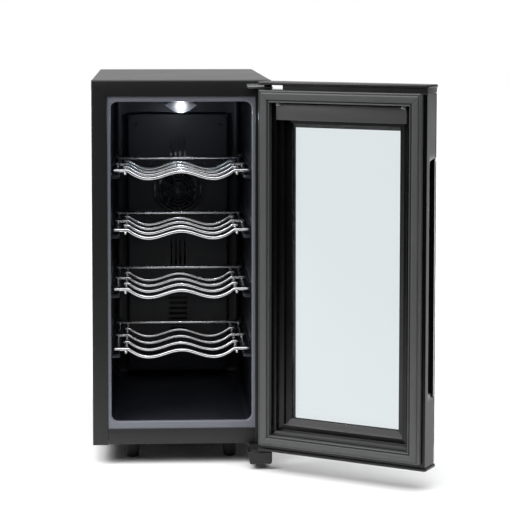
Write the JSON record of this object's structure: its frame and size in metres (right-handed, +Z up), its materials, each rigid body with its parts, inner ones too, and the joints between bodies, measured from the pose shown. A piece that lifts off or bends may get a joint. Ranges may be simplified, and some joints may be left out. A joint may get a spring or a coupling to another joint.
{
  "type": "wine cooler",
  "caption": "Slim free-standing wine cooler: black steel cabinet, hinged glass door held open, sliding scalloped wire shelves and a fan-assisted thermoelectric unit.",
  "frame": {"origin": "on the floor under the centre of the bounding box, door standing open at rest", "axes": "+X to the hinge side, seen from the front; +Y from the door opening to the back; +Z up"},
  "size_m": [0.465, 0.6504, 0.5465],
  "materials": {
    "cabinet_paint": "satin black textured powder coat",
    "rear_paint": "matt black paint",
    "zinc_steel": "zinc-plated sheet",
    "liner_plastic": "satin moulded plastic, dark grey",
    "cover_plastic": "satin moulded plastic, near black",
    "foam": "rigid polyurethane foam",
    "lamp_diffuser": "frosted white diffuser",
    "circuit_board": "green solder mask",
    "fan_plastic": "matt black",
    "aluminium": "mill finish",
    "ceramic": "white alumina",
    "socket_plastic": "satin black",
    "foot_plastic": "matt black",
    "shelf_chrome": "polished chrome plate",
    "door_gloss_black": "high-gloss black",
    "door_satin_black": "satin black",
    "bush_nylon": "natural nylon",
    "clear_glass": "clear, faintly blue",
    "gasket_rubber": "soft grey vinyl seal",
    "magnet": "bonded ferrite strip"
  },
  "bodies": {
    "cabinet": {"outer_wrapper": "cabinet_paint", "bottom_rail": "cabinet_paint", "base_plate": "rear_paint", "rear_panel": "rear_paint", "foot_front_left": "foot_plastic", "foot_rear_left": "foot_plastic", "foot_front_right": "foot_plastic", "foot_rear_right": "foot_plastic", "inner_liner": "liner_plastic", "insulation_foam": "foam", "lamp_lens": "lamp_diffuser", "lamp_board": "circuit_board", "fan_cover": "cover_plastic", "cold_fan_frame": "fan_plastic", "hot_fan_frame": "fan_plastic", "cold_heatsink": "aluminium", "cold_block": "aluminium", "peltier_module": "ceramic", "hot_heatsink": "aluminium", "power_board": "circuit_board", "mains_inlet": "socket_plastic", "temperature_sensor": "socket_plastic", "top_hinge_bracket": "zinc_steel", "bottom_hinge_bracket": "rear_paint", "bottom_hinge_cover": "door_satin_black"},
    "door": {"door_frame": "door_gloss_black", "hinge_bush_bottom": "bush_nylon", "hinge_bush_top": "bush_nylon", "door_top_cap": "door_satin_black", "door_bottom_cap": "door_satin_black", "outer_glass": "clear_glass", "inner_glass": "clear_glass", "glass_spacer": "aluminium", "door_inner_frame": "door_satin_black", "control_cover": "door_satin_black", "control_board": "circuit_board", "display_module": "door_gloss_black", "door_gasket": "gasket_rubber", "magnetic_strip": "magnet"},
    "shelf_1": {"wire_shelf_1": "shelf_chrome"},
    "shelf_2": {"wire_shelf_2": "shelf_chrome"},
    "shelf_3": {"wire_shelf_3": "shelf_chrome"},
    "shelf_4": {"wire_shelf_4": "shelf_chrome"},
    "cold_rotor": {"cold_fan_rotor": "fan_plastic"},
    "hot_rotor": {"hot_fan_rotor": "fan_plastic"}
  },
  "joints": [
    {"name": "door_hinge", "type": "hinge", "parent": "cabinet", "child": "door", "pos_m": [0.01348, -0.17563, 0.289], "axis": [0, 0, 1], "range_deg": [-148.5, 5]},
    {"name": "shelf_1_slide", "type": "slide", "parent": "cabinet", "child": "shelf_1", "axis": [0, -1, 0], "range_m": [0, 0.16]},
    {"name": "shelf_2_slide", "type": "slide", "parent": "cabinet", "child": "shelf_2", "axis": [0, -1, 0], "range_m": [0, 0.16]},
    {"name": "shelf_3_slide", "type": "slide", "parent": "cabinet", "child": "shelf_3", "axis": [0, -1, 0], "range_m": [0, 0.16]},
    {"name": "shelf_4_slide", "type": "slide", "parent": "cabinet", "child": "shelf_4", "axis": [0, -1, 0], "range_m": [0, 0.16]},
    {"name": "cold_fan_spin", "type": "hinge", "parent": "cabinet", "child": "cold_rotor", "pos_m": [-0.10652, 0.17837, 0.36], "axis": [0, -1, 0], "continuous": true},
    {"name": "hot_fan_spin", "type": "hinge", "parent": "cabinet", "child": "hot_rotor", "pos_m": [-0.10652, 0.29037, 0.36], "axis": [0, 1, 0], "continuous": true}
  ]
}
